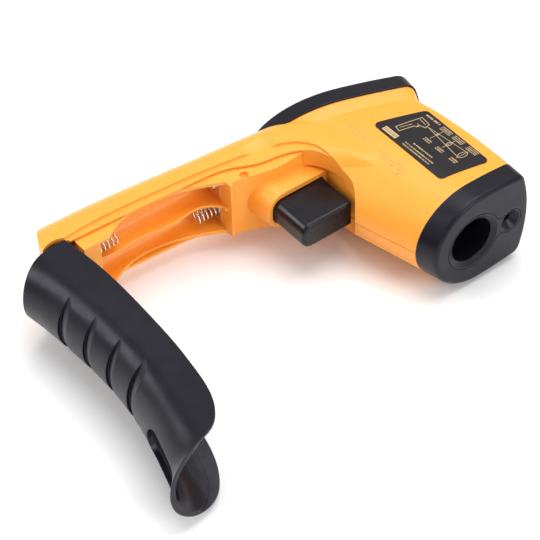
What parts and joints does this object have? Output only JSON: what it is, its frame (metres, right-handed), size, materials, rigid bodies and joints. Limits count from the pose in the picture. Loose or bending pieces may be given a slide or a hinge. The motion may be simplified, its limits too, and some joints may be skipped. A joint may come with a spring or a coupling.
{
  "type": "infrared thermometer",
  "caption": "Pistol-grip infrared thermometer with a display rim, sliding trigger, laser pointer and a hinged battery cover along the front of the handle, shown open.",
  "frame": {"origin": "mouth of the sensor bore in the front face, on the optical axis", "axes": "+X is the way the thermometer looks, +Y its top when it is held upright, +Z its right side, which faces up as it lies on its left side"},
  "size_m": [0.1241, 0.1802, 0.043],
  "materials": {
    "amber_plastic": "satin moulded",
    "charcoal_plastic": "fine satin texture",
    "trigger_plastic": "satin",
    "key_rubber": "matt",
    "clear_window": "clear",
    "display_glass": "reflective grey-green",
    "white_plastic": "milky",
    "dark_lens": "polished",
    "circuit_board": "solder mask",
    "black_parts": "plain",
    "steel": "plated",
    "spring_steel": "bright plated wire",
    "contact_plate": "bright plated sheet",
    "sensor_metal": "plated can",
    "laser_brass": "turned",
    "label_film": "satin film"
  },
  "bodies": {
    "housing": {"front_bezel": "charcoal_plastic", "battery_tray": "amber_plastic", "right_housing": "amber_plastic", "left_housing": "amber_plastic", "housing_screws": "steel", "rear_rim": "charcoal_plastic", "display_window": "clear_window", "lcd_panel": "display_glass", "backlight": "white_plastic", "main_board": "circuit_board", "key_domes": "key_rubber", "hinge_pin": "steel", "trigger_spring": "spring_steel", "switch_board": "circuit_board", "trigger_switch": "black_parts", "lens_barrel": "black_parts", "fresnel_lens": "dark_lens", "sensor_board": "circuit_board", "sensor_can": "sensor_metal", "laser_module": "laser_brass", "buzzer": "black_parts", "link_contact": "contact_plate", "near_contact": "contact_plate", "far_contact": "contact_plate", "near_cell_spring": "spring_steel", "far_cell_spring": "spring_steel", "side_label": "label_film"},
    "cover": {"battery_cover": "charcoal_plastic"},
    "trigger": {"trigger": "trigger_plastic"},
    "left_key": {"left_key": "key_rubber"},
    "mode_key": {"mode_key": "key_rubber"},
    "right_key": {"right_key": "key_rubber"}
  },
  "joints": [
    {"name": "cover_hinge", "type": "hinge", "parent": "housing", "child": "cover", "pos_m": [-0.075, -0.123, 0], "axis": [0, 0, 1], "range_deg": [0, 87.5]},
    {"name": "trigger_slide", "type": "slide", "parent": "housing", "child": "trigger", "axis": [-1, 0, 0], "range_m": [0, 0.004], "stiffness_N_per_m": 600, "springref_m": -0.002},
    {"name": "left_key_press", "type": "slide", "parent": "housing", "child": "left_key", "axis": [0.9511, -0.309, 0], "range_m": [0, 0.0008], "stiffness_N_per_m": 900, "springref_m": -0.0005},
    {"name": "mode_key_press", "type": "slide", "parent": "housing", "child": "mode_key", "axis": [0.9511, -0.309, 0], "range_m": [0, 0.0008], "stiffness_N_per_m": 900, "springref_m": -0.0005},
    {"name": "right_key_press", "type": "slide", "parent": "housing", "child": "right_key", "axis": [0.9511, -0.309, 0], "range_m": [0, 0.0008], "stiffness_N_per_m": 900, "springref_m": -0.0005}
  ]
}
